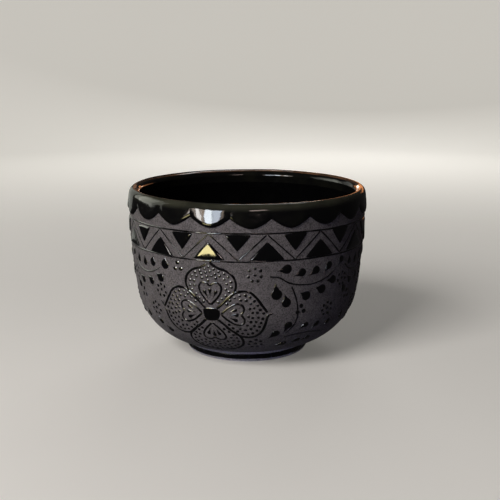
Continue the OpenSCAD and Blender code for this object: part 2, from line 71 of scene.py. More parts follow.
def wall_point(v, h=0.0):
    """Radius and height of the points h outside the clay, at arc length v up the wall."""
    v, h = np.broadcast_arrays(np.asarray(v, float), np.asarray(h, float))
    low = v < KNUCKLE_LEN
    tilt = np.where(low, FOOT_TILT - v / KNUCKLE_R, JOIN_TILT - (v - KNUCKLE_LEN) / WALL_ARC_R)
    r = np.where(low, KNUCKLE_R, WALL_ARC_R) + h
    x = np.where(low, KNUCKLE_X, WALL_X) + r * np.cos(tilt)
    z = np.where(low, KNUCKLE_Z, WIDEST_Z) - r * np.sin(tilt)
    return x, z


def clay_point(s, h=0.0):
    """As wall_point, but s goes on over the lip and down the inside of the bowl."""
    s, h = np.broadcast_arrays(np.asarray(s, float), np.asarray(h, float))
    outer = wall_point(np.minimum(s, LIP_V), h)
    centre = wall_point(LIP_V, -LIP_R)
    a = np.clip((s - LIP_V) / LIP_R, 0, math.pi) - LIP_TILT
    lip = centre[0] + (LIP_R + h) * np.cos(a), centre[1] + (LIP_R + h) * np.sin(a)
    inner = wall_point(2 * LIP_V + LIP_LEN - s, -WALL_T - h)
    pick = [s <= LIP_V, s <= LIP_V + LIP_LEN]
    return tuple(np.select(pick, [outer[k], lip[k]], inner[k]) for k in (0, 1))


def radius_at(v):
    return wall_point(v)[0]


# A bowl thrown by hand is not quite round or level. Each wave has a height, a number of
# times round the bowl and a phase, and the waves grow over a stretch of the bowl's height.
ROUND_WAVES = ((0.13, 2, 0.7), (0.07, 3, 2.1))
ROUND_FROM_Z, ROUND_OVER_Z = 12.0, 60.0
FINGER_H, FINGER_COUNT, FINGER_RISE = 0.03, 7, 9.0
LIP_WAVES = ((0.12, 2, 2.4), (0.06, 5, 0.0))
LIP_FROM_Z, LIP_OVER_Z = 68.0, 22.0
FRONT_DROP = 0.9


def waves(terms, a):
    return sum(height * np.sin(count * a + phase) for height, count, phase in terms)


def thrown(az, r, z):
    """Points in mm at azimuth az, with the slight unevenness of a bowl thrown by hand."""
    a = np.radians(az)
    high = np.clip((z - ROUND_FROM_Z) / ROUND_OVER_Z, 0, 1)
    finger_marks = FINGER_H * np.sin(FINGER_COUNT * a + z / FINGER_RISE)
    r = r + high * (waves(ROUND_WAVES, a) + finger_marks)
    near_lip = np.clip((z - LIP_FROM_Z) / LIP_OVER_Z, 0, 1) ** 2
    z = z + near_lip * (waves(LIP_WAVES, a) - FRONT_DROP * np.cos(a))
    return np.stack(np.broadcast_arrays(r * np.sin(a), -r * np.cos(a), z), -1)


def on_wall(az, v, h=0.0):
    r, z = wall_point(v, h)
    return thrown(az, r, z)


# ------------------------------------------------------------------------------------------
# Mesh helpers. A mesh is (points, faces), with the points in mm and faces a list of rows.
# ------------------------------------------------------------------------------------------
ON_AXIS = 1e-6


def grid_faces(rows, cols, wrap_rows=False, wrap_cols=False):
    i = np.arange(rows if wrap_rows else rows - 1)[:, None]
    j = np.arange(cols if wrap_cols else cols - 1)[None, :]
    i2, j2 = (i + 1) % rows, (j + 1) % cols
    corners = [i * cols + j, i * cols + j2, i2 * cols + j2, i2 * cols + j]
    return np.stack(corners, -1).reshape(-1, 4)


def cap_faces(rings, n):
    """Faces of a closed cap: rings of n points from its edge inwards, then one point on top."""
    last, top = (rings - 1) * n, rings * n
    faces = grid_faces(rings, n, wrap_cols=True).tolist()
    faces += [[last + k, last + (k + 1) % n, top] for k in range(n)]
    faces.append(list(range(n))[::-1])
    return faces


def revolve(line, segments, shape=None):
    """Line of (r, z) round the axis: a closed line, or one with an end on the axis as a pole."""
    line = np.asarray(line, float)
    first_pole, last_pole = line[0, 0] < ON_AXIS, line[-1, 0] < ON_AXIS
    body = line[int(first_pole):len(line) - int(last_pole)]
    rows = len(body)
    az = np.broadcast_to(np.arange(segments) * 360 / segments, (rows, segments))
    r, z = (np.repeat(body[:, k:k + 1], segments, axis=1) for k in (0, 1))
    if shape is not None:
        r, z = shape(az, r, z)
    points = [thrown(az, r, z).reshape(-1, 3)]
    closed = not (first_pole or last_pole)
    faces = [grid_faces(rows, segments, wrap_rows=closed, wrap_cols=True).tolist()]
    j = np.arange(segments)
    j2 = (j + 1) % segments
    if first_pole:
        points.append([[0, 0, line[0, 1]]])
        pole = rows * segments
        faces.append(np.stack([np.full(segments, pole), j2, j], -1).tolist())
    if last_pole:
        points.append([[0, 0, line[-1, 1]]])
        pole = rows * segments + int(first_pole)
        end = (rows - 1) * segments
        faces.append(np.stack([np.full(segments, pole), end + j, end + j2], -1).tolist())
    return np.concatenate(points), sum(faces, [])


def stack(*lines):
    """One line out of stretches of (r, z), where either may be a single number."""
    return np.concatenate([np.stack(np.broadcast_arrays(*line), -1) for line in lines])


def arc(cx, cz, r, a0, a1, n=7):
    a = np.radians(np.linspace(a0, a1, n))
    return cx + r * np.cos(a), cz + r * np.sin(a)


def shaped(name, meshes, material):
    """Makes one object out of the meshes."""
    starts = np.cumsum([0] + [len(m[0]) for m in meshes])
    points = np.concatenate([m[0] for m in meshes]) * MM
    faces = [[k + int(s) for k in f] for m, s in zip(meshes, starts) for f in m[1]]
    data = bpy.data.meshes.new(name)
    data.from_pydata(points.tolist(), [], faces)
    data.update()
    data.shade_smooth()
    data.materials.append(material)
    obj = bpy.data.objects.new(name, data)
    bpy.context.scene.collection.objects.link(obj)
    return obj


def piece(node, meshes, material):
    """One object that stands for the CAD node and rides on the root body."""
    obj = shaped(f"{node}_look", meshes, material)
    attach(obj, "root")
    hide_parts(node)
    return obj


def smooth_line(points, steps=8):
    """Catmull-Rom curve through the points."""
    p = np.asarray(points, float)
    q = np.concatenate([[p[0]], p, [p[-1]]])
    t = (np.arange(steps) / steps)[None, :, None]
    a, b, c, d = (q[k:len(q) - 3 + k, None, :] for k in range(4))
    out = (b + (c - a) * t / 2 + (2 * a - 5 * b + 4 * c - d) * t**2 / 2
           + (3 * b - a - 3 * c + d) * t**3 / 2)
    return np.concatenate([out.reshape(-1, p.shape[1]), p[-1:]])


def soft_noise(n, step, rate):
    """n values of noise about 0, step mm apart, with a new random value every rate mm."""
    knots = rng.uniform(-1, 1, max(4, int(n * step / rate) + 4))
    return np.interp(np.arange(n) * step / rate, np.arange(len(knots)), knots)


# Trailed lines: the places across a line, from edge to edge, and its low round section
BEAD_X = np.array([-1.0, -0.93, -0.78, -0.55, -0.28, 0.0, 0.28, 0.55, 0.78, 0.93, 1.0])
BEAD_H = 1 - BEAD_X**2
SUNK = 0.05  # how far the edge of every piece of glaze sinks into the clay
WIDTH_NOISE_RATE, RING_BLEND = 2.6, 3.0
THIN_END, THIN_TAIL = 0.03, 0.45


def end_shape(t, length, cap, tail):
    """Share of a line's full size at t: round at both ends, and thinner along its tail."""
    start, end = np.clip(t / cap, 0, 1), np.clip((length - t) / cap, 0, 1)
    share = np.sqrt(1 - (1 - start) ** 2) * np.sqrt(1 - (1 - end) ** 2)
    share = np.maximum(share, THIN_END)
    if tail:
        share = share * (THIN_TAIL + (1 - THIN_TAIL) * np.clip((length - t) / tail, 0, 1))
    return share


def bead(path, width, height, closed=False, step=0.45, uneven=0.1, tail=0.0):
    """Trailed line of glaze along a path of (az, v), which goes round the bowl if closed.

    tail is the length over which the end of the line thins out.
    """
    path = np.asarray(path, float)
    if closed:
        path = np.concatenate([path, path[:1] + [[360.0, 0.0]]])
    mid_r = radius_at((path[1:, 1] + path[:-1, 1]) / 2)
    lengths = np.hypot(np.radians(np.diff(path[:, 0])) * mid_r, np.diff(path[:, 1]))
    s = np.concatenate([[0], np.cumsum(lengths)])
    length = s[-1]
    n = max(4, int(length / step) + 1)
    t = np.linspace(0, length, n + 1)[:-1] if closed else np.linspace(0, length, n)
    az, v = (np.interp(t, s, path[:, k]) for k in (0, 1))
    if closed:
        ahead, behind = (t + 0.5) % length, (t - 0.5) % length
        daz, dv = (np.interp(ahead, s, path[:, k]) - np.interp(behind, s, path[:, k])
                   for k in (0, 1))
        daz = (daz + 180) % 360 - 180
    else:
        daz, dv = np.gradient(az), np.gradient(v)
    r = radius_at(v)
    dx = np.radians(daz) * r
    size = np.hypot(dx, dv) + 1e-9
    normal_x, normal_v = -dv / size, dx / size

    half = width / 2
    w = half * (1 + uneven * soft_noise(len(t), step, WIDTH_NOISE_RATE))
    if closed:
        w = half + (w - half) * np.clip(np.minimum(t, length - t) / RING_BLEND, 0, 1)
    else:
        w = w * end_shape(t, length, half, tail)
    h = height * w / half

    x = BEAD_X[None, :] * w[:, None]
    aa = az[:, None] + np.degrees(normal_x[:, None] * x / r[:, None])
    vv = v[:, None] + normal_v[:, None] * x
    points = on_wall(aa, vv, BEAD_H[None, :] * h[:, None] - SUNK)
    m = len(BEAD_X)
    faces = grid_faces(len(t), m, wrap_rows=closed, wrap_cols=True)[:, ::-1].tolist()
    if not closed:
        faces.append(list(range(m)))
        faces.append([(len(t) - 1) * m + k for k in range(m)][::-1])
    return points.reshape(-1, 3), faces


def distance_to(outline, points):
    """Distance from each point to the closed outline, both in mm on the wall."""
    a, b = outline, np.roll(outline, -1, 0)
    ab = b - a
    t = ((points[:, None] - a) * ab).sum(-1) / np.maximum((ab**2).sum(-1), 1e-9)
    t = np.clip(t, 0, 1)
    return np.linalg.norm(points[:, None] - a - ab * t[..., None], axis=-1).min(1)


MOUND_RINGS = np.array([1.0, 0.985, 0.95, 0.9, 0.83, 0.74, 0.62, 0.46, 0.26])


def mound(az, v, outline, height, shoulder, centre=(0.0, 0.0), crown=0.0, sag=0.0, level=0.0):
    """Patch of glaze with a closed outline in mm round (az, v).

    Its edge is round over the width of the shoulder. crown is how much higher its middle is,
    sag how far it loses height per mm upwards, and level the share of the wall's curve
    round the axis that its top leaves out.
    """
    outline = np.asarray(outline, float)
    centre = np.asarray(centre, float)
    n = len(outline)
    rings = [centre + (outline - centre) * share for share in MOUND_RINGS]
    p = np.concatenate(rings + [centre[None]])
    share = np.concatenate([np.repeat(MOUND_RINGS, n), [0.0]])
    d = np.clip(distance_to(outline, p) / shoulder, 0, 1)
    d[:n] = 0
    h = height * np.sqrt(1 - (1 - d) ** 2) + crown * (1 - share**2) * d - sag * p[:, 1] * d
    h = h + level * p[:, 0] ** 2 / (2 * WALL_R) * d
    a = az + np.degrees(p[:, 0] / radius_at(v + p[:, 1]))
    return on_wall(a, v + p[:, 1], h - SUNK), cap_faces(len(MOUND_RINGS), n)


def turned(points, angle):
    a = math.radians(angle)
    p = np.asarray(points, float)
    return np.stack([p[:, 0] * math.cos(a) - p[:, 1] * math.sin(a),
                     p[:, 0] * math.sin(a) + p[:, 1] * math.cos(a)], -1)


FLANK_POINTS, HEAD_POINTS = 9, 16
FLANK_HOLLOW, BLUNTEST = 0.05, 0.95


def drop_outline(angle, reach, head, bend=0.0):
    """A drop with its round head at the origin and its tip drawn out at the given angle.

    bend is how far the tip turns aside, as a share of its reach.
    """
    flank = math.acos(min(BLUNTEST, head / reach))
    tip = np.array([reach, 0.0])
    way = head * np.array([math.cos(flank), math.sin(flank)]) - tip
    inward = np.array([-way[1], way[0]]) / np.linalg.norm(way)
    t = np.arange(FLANK_POINTS) / FLANK_POINTS
    hollow = FLANK_HOLLOW * reach * np.sin(math.pi * t)
    upper = tip + way * t[:, None] + inward * hollow[:, None]
    back = np.linspace(flank, 2 * math.pi - flank, HEAD_POINTS + 1)
    round_head = head * np.stack([np.cos(back), np.sin(back)], -1)
    lower = upper[1:][::-1] * [1, -1]
    outline = np.concatenate([upper, round_head, lower])
    pull = np.clip(outline[:, 0] / reach, 0, 1) ** 2
    outline[:, 1] += bend * reach * pull
    return turned(outline, angle)


DOME_SEGMENTS = 14
DOME_RINGS = np.array([1.0, 0.96, 0.84, 0.62, 0.33])
DOME_STRAY, DOME_SPREAD, DOME_SQUASH = 0.10, 0.08, 0.06


def domes(places, radius, height):
    """Round dots of glaze at places of (az, v), each a little out of place, size and round."""
    places = np.asarray(places, float)
    n = len(places)
    stray = rng.normal(0, DOME_STRAY, n) / radius_at(places[:, 1])
    az = places[:, 0] + np.degrees(stray)
    v = places[:, 1] + rng.normal(0, DOME_STRAY, n)
    r = radius * (1 + DOME_SPREAD * rng.uniform(-1, 1, n))
    squash = 1 + DOME_SQUASH * rng.uniform(-1, 1, n)
    t = np.arange(DOME_SEGMENTS) * 2 * math.pi / DOME_SEGMENTS
    x, y = (np.append((DOME_RINGS[:, None] * f(t)).ravel(), 0) for f in (np.cos, np.sin))
    h = np.append(np.repeat(1 - DOME_RINGS**2, DOME_SEGMENTS), 1.0)
    vv = v[:, None] + y * (r / squash)[:, None]
    aa = az[:, None] + np.degrees(x * (r * squash)[:, None] / radius_at(vv))
    points = on_wall(aa, vv, h * (height * r / radius)[:, None] - SUNK)
    one = cap_faces(len(DOME_RINGS), DOME_SEGMENTS)
    faces = [[k + i * len(x) for k in f] for i in range(n) for f in one]
    return points.reshape(-1, 3), faces


# ------------------------------------------------------------------------------------------
# Materials. Noise scales are features per metre, and places on the bowl are in metres.
# ------------------------------------------------------------------------------------------
class Nodes:
    """Short names for the shader nodes that the materials here use."""

    def __init__(self, name):
        self.material = bpy.data.materials.new(name)
        self.material.use_nodes = True
        self.tree = self.material.node_tree
        self.shader = self.tree.nodes["Principled BSDF"]
        self.place = self.tree.nodes.new("ShaderNodeTexCoord").outputs["Object"]

    def link(self, a, b):
        self.tree.links.new(a, b)

    def set(self, **values):
        for k, value in values.items():
            self.shader.inputs[k.replace("_", " ")].default_value = value

    def noise(self, scale, detail=3.0, rough=0.55, stretch=None):
        node = self.tree.nodes.new("ShaderNodeTexNoise")
        node.inputs["Scale"].default_value = scale
        node.inputs["Detail"].default_value = detail
        node.inputs["Roughness"].default_value = rough
        source = self.place
        if stretch:
            mapping = self.tree.nodes.new("ShaderNodeMapping")
            mapping.inputs["Scale"].default_value = stretch
            self.link(self.place, mapping.inputs["Vector"])
            source = mapping.outputs["Vector"]
        self.link(source, node.inputs["Vector"])
        return node.outputs["Fac"]

    def cells(self, scale):
        node = self.tree.nodes.new("ShaderNodeTexVoronoi")
        node.inputs["Scale"].default_value = scale
        self.link(self.place, node.inputs["Vector"])
        return node.outputs["Distance"]

    def spread(self, value, low, high, to_low=0.0, to_high=1.0):
        """Soft step of the value from to_low at low to to_high at high."""
        node = self.tree.nodes.new("ShaderNodeMapRange")
        node.interpolation_type = "SMOOTHSTEP"
        numbers = {"From Min": low, "From Max": high, "To Min": to_low, "To Max": to_high}
        for key, number in numbers.items():
            node.inputs[key].default_value = number
        self.link(value, node.inputs["Value"])
        return node.outputs["Result"]

    def both(self, a, b):
        node = self.tree.nodes.new("ShaderNodeMath")
        node.operation = "MULTIPLY"
        self.link(a, node.inputs[0])
        self.link(b, node.inputs[1])
        return node.outputs["Value"]

    def blend(self, share, a, b):
        """Colour from a to b, where each is a tuple or another node's colour."""
        node = self.tree.nodes.new("ShaderNodeMix")
        node.data_type = "RGBA"
        self.link(share, node.inputs["Factor"])
        for key, value in (("A", a), ("B", b)):
            socket = [q for q in node.inputs if q.name == key and q.type == "RGBA"][0]
            if isinstance(value, tuple):
                socket.default_value = (*value, 1.0)
            else:
                self.link(value, socket)
        return [q for q in node.outputs if q.type == "RGBA"][0]

    def height_and_radius(self):
        split = self.tree.nodes.new("ShaderNodeSeparateXYZ")
        self.link(self.place, split.inputs["Vector"])
        flat = self.tree.nodes.new("ShaderNodeVectorMath")
        flat.operation = "MULTIPLY"
        flat.inputs[1].default_value = (1.0, 1.0, 0.0)
        self.link(self.place, flat.inputs[0])
        size = self.tree.nodes.new("ShaderNodeVectorMath")
        size.operation = "LENGTH"
        self.link(flat.outputs["Vector"], size.inputs[0])
        return split.outputs["Z"], size.outputs["Value"]

    def bump(self, *layers):
        """Layers of (height, distance in metres, strength), coarse to fine."""
        normal = None
        for height, distance, strength in layers:
            node = self.tree.nodes.new("ShaderNodeBump")
            node.inputs["Distance"].default_value = distance
            node.inputs["Strength"].default_value = strength
            self.link(height, node.inputs["Height"])
            if normal is not None:
                self.link(normal, node.inputs["Normal"])
            normal = node.outputs["Normal"]
        self.link(normal, self.shader.inputs["Normal"])


GRAIN_SCALE, MOTTLE_SCALE, CLOUD_SCALE, TURNING_SCALE = 1500, 420, 45, 260


def clay_material(name, dark, mid, light, worn=None):
    """Matte speckled clay. Where worn is given, patches of it show on the edge it stands on."""
    n = Nodes(name)
    grain = n.noise(GRAIN_SCALE, detail=3, rough=0.75)
    mottle = n.noise(MOTTLE_SCALE, detail=3)
    cloud = n.noise(CLOUD_SCALE, detail=3)
    colour = n.blend(n.spread(grain, 0.42, 0.58), dark, mid)
    colour = n.blend(n.spread(mottle, 0.35, 0.75, 0.0, 0.35), colour, light)
    colour = n.blend(n.spread(cloud, 0.35, 0.7, 0.0, 0.3), colour, dark)
    grit = n.cells(GRAIN_SCALE)
    colour = n.blend(n.spread(grit, 0.10, 0.22, 0.7, 0.0), colour, light)
    if worn is not None:
        height, _ = n.height_and_radius()
        edge = n.spread(height, 0.2 * MM, 1.4 * MM, 1.0, 0.0)
        patch = n.spread(n.noise(160, detail=4), 0.4, 0.62)
        colour = n.blend(n.both(edge, patch), colour, worn)
    n.link(colour, n.shader.inputs["Base Color"])
    n.link(n.spread(mottle, 0.3, 0.7, 0.80, 0.94), n.shader.inputs["Roughness"])
    n.set(Specular_IOR_Level=0.35, Sheen_Weight=0.06, Sheen_Roughness=0.5)
    turning_marks = n.noise(TURNING_SCALE, detail=2, stretch=(0.04, 0.04, 1.0))
    n.bump((turning_marks, 0.40 * MM, 0.12), (mottle, 0.20 * MM, 0.25), (grain, 0.12 * MM, 0.8))
    return n.material


COAT_IOR, TRAILED_IOR, DOT_IOR = 1.34, 1.5, 1.6


def glaze_material(name, body, thin, rough=(0.05, 0.12), wave=0.15, index=COAT_IOR):
    """Glossy glaze, with clouds of the colour that it has where it is thin."""
    n = Nodes(name)
    colour = n.blend(n.spread(n.noise(140, detail=4), 0.45, 0.8, 0.0, 0.6), body, thin)
    n.link(colour, n.shader.inputs["Base Color"])
    n.link(n.spread(n.noise(350, detail=3), 0.35, 0.75, *rough), n.shader.inputs["Roughness"])
    n.set(IOR=index)
    n.bump((n.noise(170, detail=2), 0.5 * MM, wave), (n.noise(900, detail=2), 0.1 * MM, 0.06))
    return n.material


OLIVE, COPPER = (0.042, 0.042, 0.028), (0.17, 0.085, 0.045)


def rim_glaze_material(name):
    """Black glaze, olive at the top of the collar and copper brown on the crown of the lip."""
    n = Nodes(name)
    height, radius = n.height_and_radius()
    cloud = n.noise(95, detail=4)
    streak = n.noise(60, detail=3, stretch=(1.0, 1.0, 0.25))
    colour = n.blend(n.spread(cloud, 0.4, 0.75), (0.004, 0.004, 0.004), (0.008, 0.008, 0.006))
    outer = n.spread(radius, (WALL_R - 3.6) * MM, (WALL_R - 1.8) * MM)
    upper = n.spread(height, (LIP_Z - 4.3) * MM, (LIP_Z - 1.3) * MM)
    olive = n.both(n.both(outer, upper), n.spread(streak, 0.3, 0.65, 0.45, 1.0))
    colour = n.blend(olive, colour, OLIVE)
    crown = n.spread(height, (LIP_Z - 0.2) * MM, (LIP_Z + 0.7) * MM)
    inner = n.both(n.spread(radius, (WALL_R - 4.8) * MM, (WALL_R - 4.2) * MM),
                   n.spread(radius, (WALL_R - 3.7) * MM, (WALL_R - 3.0) * MM, 1.0, 0.0))
    worn = n.both(n.both(crown, inner), n.spread(n.noise(70, detail=4), 0.35, 0.6, 0.35, 1.0))
    colour = n.blend(worn, colour, COPPER)
    n.link(colour, n.shader.inputs["Base Color"])
    n.link(n.spread(n.noise(300, detail=3), 0.35, 0.75, 0.05, 0.13), n.shader.inputs["Roughness"])
    n.set(IOR=COAT_IOR)
    n.bump((n.noise(110, detail=2), 0.8 * MM, 0.26), (n.noise(700, detail=2), 0.1 * MM, 0.10))
    return n.material


BLACK, THIN_BLACK = (0.003, 0.003, 0.0032), (0.006, 0.006, 0.006)

matte_clay = clay_material("matte_clay", (0.046, 0.040, 0.039), (0.168, 0.149, 0.144),
                           (0.27, 0.247, 0.242))
# The foot's clay and its worn patches are much lighter than the body's clay. Part of this is the
# bare clay's own colour, and part is painted light that stands in for floor bounce into the shade
# under the bowl.
foot_clay = clay_material("foot_clay", (0.40, 0.39, 0.40), (0.62, 0.61, 0.62),
                          (0.72, 0.71, 0.72), worn=(0.76, 0.75, 0.76))
trailed_glaze = glaze_material("trailed_glaze", BLACK, THIN_BLACK, index=TRAILED_IOR)
dot_glaze = glaze_material("dot_glaze", BLACK, THIN_BLACK, rough=(0.02, 0.06), wave=0.05,
                           index=DOT_IOR)
inner_glaze = glaze_material("inner_glaze", (0.0015, 0.0015, 0.0017), (0.003, 0.003, 0.003),
                             wave=0.1)
foot_glaze = glaze_material("foot_glaze", (0.007, 0.007, 0.007), (0.014, 0.014, 0.013),
                            rough=(0.16, 0.34))
rim_glaze = rim_glaze_material("rim_glaze")

# ------------------------------------------------------------------------------------------
# Clay and the coats of glaze
# ------------------------------------------------------------------------------------------
CLAY_SEGMENTS, COAT_SEGMENTS = 512, 384
TURNED_H, TURNED_RATE, TURNED_R, TURNED_FADE, TURNED_HUB = 0.12, 2.9, 24.0, 6.0, 3.0

inside_end = 2 * LIP_V + LIP_LEN - FLOOR_V
under_r = np.linspace(0, FOOT_R - 0.3, 60)
turned_marks = (TURNED_H * np.sin(under_r * TURNED_RATE) * np.clip(under_r / TURNED_HUB, 0, 1)
                * np.clip((TURNED_R - under_r) / TURNED_FADE, 0, 1))
body_line = stack(
    (under_r, FOOT_H + turned_marks),
    clay_point(np.linspace(0, LIP_V, 90)),
    clay_point(np.linspace(LIP_V, LIP_V + LIP_LEN, 22)[1:-1]),
    clay_point(np.linspace(LIP_V + LIP_LEN, inside_end, 50)),
    (KNUCKLE_X * np.linspace(0.75, 0, 4), FLOOR_Z),
)
piece("clay_body", [revolve(body_line[::-1], CLAY_SEGMENTS)], matte_clay)

FOOT_EDGE = 0.7
FOOT_SIDE_H, FOOT_SIDE_TOP_R = FOOT_H - 1, FOOT_R - 0.5
FOOT_WEAR, FOOT_WEAR_COUNT = 0.03, 6


def foot_side_r(z):
    return FOOT_GROUND_R + (FOOT_SIDE_TOP_R - FOOT_GROUND_R) * z / FOOT_SIDE_H


def foot_wear(az, r, z):
    return r + FOOT_WEAR * np.sin(FOOT_WEAR_COUNT * np.radians(az)) * np.clip(z, 0, 1), z


foot_line = stack(
    arc(FOOT_INNER_R + FOOT_EDGE, FOOT_EDGE, FOOT_EDGE, 180, 270),
    (np.linspace(FOOT_INNER_R + FOOT_EDGE + 1, FOOT_GROUND_R - FOOT_EDGE - 1, 3), 0.0),
    arc(FOOT_GROUND_R - FOOT_EDGE, FOOT_EDGE, FOOT_EDGE, 270, 360),
    (np.linspace(foot_side_r(FOOT_EDGE), FOOT_SIDE_TOP_R, 8),
     np.linspace(FOOT_EDGE + 0.1, FOOT_SIDE_H, 8)),
    arc(FOOT_R + 0.6, FOOT_H - 0.45, 0.95, 205, 160, 5),
    ([FOOT_INNER_R - 0.5], FOOT_H + 0.05),
    (np.linspace(FOOT_INNER_R - 0.45, FOOT_INNER_R - 0.05, 6),
     np.linspace(FOOT_H - 0.5, FOOT_EDGE + 0.3, 6)),
)
piece("foot_ring", [revolve(foot_line, COAT_SEGMENTS, foot_wear)], foot_clay)

BAND_LOW_Z, BAND_LOW_WAVES = 1.5, ((0.10, 3, 1), (0.06, 11, 0))
BAND_HIGH_Z, BAND_HIGH_WAVES = 4.55, ((0.08, 2, 0), (0.05, 9, 2))
BAND_T, BAND_ROWS, BAND_SUNK = 0.36, 11, 0.04


def foot_band():
    """The glaze band's edges wander a little, and it is thickest along the lower one."""
    az = np.arange(COAT_SEGMENTS) * 360 / COAT_SEGMENTS
    a = np.radians(az)
    low = BAND_LOW_Z + waves(BAND_LOW_WAVES, a)
    high = BAND_HIGH_Z + waves(BAND_HIGH_WAVES, a)
    t = ((1 - np.cos(np.linspace(0, math.pi, BAND_ROWS))) / 2)[:, None]
    z = low + (high - low) * t
    h = BAND_T * np.sqrt(np.clip(1 - (2 * t - 1) ** 6, 0, 1)) * (1.1 - 0.25 * t) - BAND_SUNK
    points = thrown(np.broadcast_to(az, z.shape), foot_side_r(z) + h, z).reshape(-1, 3)
    return points, grid_faces(BAND_ROWS, COAT_SEGMENTS, wrap_rows=True, wrap_cols=True).tolist()


piece("foot_glaze_band", [foot_band()], foot_glaze)

RIM_INSIDE = 4.0  # how far the coat over the lip runs down the inside
RIM_END = LIP_V + LIP_LEN + RIM_INSIDE
POOL_T, POOL_DEPTH, POOL_WAVE = 0.25, 25.0, 0.05


def pooled(az, r, z):
    """The glaze on the floor is uneven, but not at its very centre."""
    on_floor = np.clip(r / 10, 0, 1) * (z < FLOOR_Z + 1)
    return r, z + POOL_WAVE * np.sin(2 * np.radians(az) + r / 11) * on_floor


inner_s = np.linspace(RIM_END - 0.4, inside_end, 60)
inner_t = INNER_GLAZE_T + POOL_T * np.clip((inner_s - inside_end) / POOL_DEPTH + 1, 0, 1)
inner_line = stack(
    clay_point(inner_s, inner_t),
    (np.linspace(KNUCKLE_X, 0, 12)[1:], FLOOR_Z + INNER_GLAZE_T + POOL_T),
)
piece("interior_glaze", [revolve(inner_line, COAT_SEGMENTS, pooled)], inner_glaze)

# The collar: a coat over the lip, whose lower edge is a row of thick lobes that meet in cusps
SCALLOPS, SCALLOP_TURN, SCALLOP_V, SCALLOP_R = 20, -7.4, 85.2, 12.6
SCALLOP_PERIOD = 360 / SCALLOPS
SCALLOP_HALF = math.radians(SCALLOP_PERIOD / 2) * WALL_R
SCALLOP_RISE = SCALLOP_R - math.sqrt(SCALLOP_R**2 - SCALLOP_HALF**2)
LOBE_ROUND = 0.8
COLLAR_COLUMNS, COLLAR_TOP_V = 1440, LIP_V - 0.6
COLLAR_T, COLLAR_BULGE, COLLAR_ROLL, COLLAR_SUNK = 0.42, 1.25, 2.6, 0.04
STEEPEST = 1.2
# Steps up from the edge, close together where it rolls over
COLLAR_STEPS = np.concatenate([[0, 0.03, 0.1, 0.22, 0.4, 0.65, 0.95, 1.3, 1.75, 2.3, 2.9, 3.6],
                               np.linspace(4.4, 14, 18)[:-1]])
LIP_STEPS = 43
# The lip is squarer outside than the clay below it. Each swelling has a height, a place and
# a width, both as a share of the way over the lip.
LIP_SWELLINGS = ((0.4, 0.38, 0.16), (-0.12, 0.72, 0.14))


def lobed_edge(az):
    """The collar's lower edge: its arc length v, the place across each lobe, its thickness."""
    turn = (az - SCALLOP_TURN) / SCALLOP_PERIOD
    lobe = np.floor(turn).astype(int) % SCALLOPS
    x = np.radians((turn - np.floor(turn) - 0.5) * SCALLOP_PERIOD) * WALL_R
    off_cusps = 1 - (x / SCALLOP_HALF) ** 2
    depth = rng.uniform(-0.35, 0.35, SCALLOPS)[lobe] * off_cusps
    leaning_x = x + rng.uniform(-0.5, 0.5, SCALLOPS)[lobe] * off_cusps
    power = rng.uniform(1.35, 1.75, SCALLOPS)[lobe]
    thick = (1 + 0.14 * rng.uniform(-1, 1, SCALLOPS))[lobe]
    across = ((np.hypot(leaning_x, LOBE_ROUND) - LOBE_ROUND)
              / (np.hypot(SCALLOP_HALF, LOBE_ROUND) - LOBE_ROUND))
    return SCALLOP_V + SCALLOP_RISE * across**power - depth, x / SCALLOP_HALF, thick


def collar():
    az = np.arange(COLLAR_COLUMNS) * 360 / COLLAR_COLUMNS
    edge, across, thick = lobed_edge(az)
    up = (COLLAR_STEPS / COLLAR_STEPS[-1])[:, None]
    over = np.linspace(COLLAR_TOP_V, RIM_END, LIP_STEPS + 1)[1:, None]
    s = np.concatenate([edge + (COLLAR_TOP_V - edge) * up,
                        np.broadcast_to(over, (LIP_STEPS, COLLAR_COLUMNS))])
    slope = np.abs(np.gradient(edge, math.radians(360 / COLLAR_COLUMNS) * WALL_R))
    from_edge = (s - edge) / np.sqrt(1 + np.clip(slope, 0, STEEPEST) ** 2)
    roll = np.sqrt(1 - (1 - np.clip(from_edge / COLLAR_ROLL, 0, 1)) ** 2)
    below_top = COLLAR_TOP_V + 1.0 - s
    low_down = np.clip(below_top / (COLLAR_TOP_V + 1.0 - SCALLOP_V), 0, 1)
    fullness = 0.35 + 0.65 * np.sqrt(np.clip(1 - across**4, 0, 1))
    h = roll * (COLLAR_T + COLLAR_BULGE * low_down * fullness * thick)
    h = h + 0.04 * np.sin(np.radians(az) * 9 + 0.8) * np.clip((s - COLLAR_TOP_V) / 2, 0, 1)
    over_lip = (s - LIP_V) / LIP_LEN
    for height, at, width in LIP_SWELLINGS:
        h = h + height * np.exp(-((over_lip - at) / width) ** 2)
    h[0] = 0
    back_s = s[::-6]
    lines = [(s, h - COLLAR_SUNK), (back_s, -0.15)]
    points = [thrown(np.broadcast_to(az, v.shape), *clay_point(v, t)) for v, t in lines]
    points = np.concatenate([p.reshape(-1, 3) for p in points])
    rows = len(s) + len(back_s)
    return points, grid_faces(rows, COLLAR_COLUMNS, wrap_rows=True, wrap_cols=True).tolist()


piece("rim_glaze", [collar()], rim_glaze)

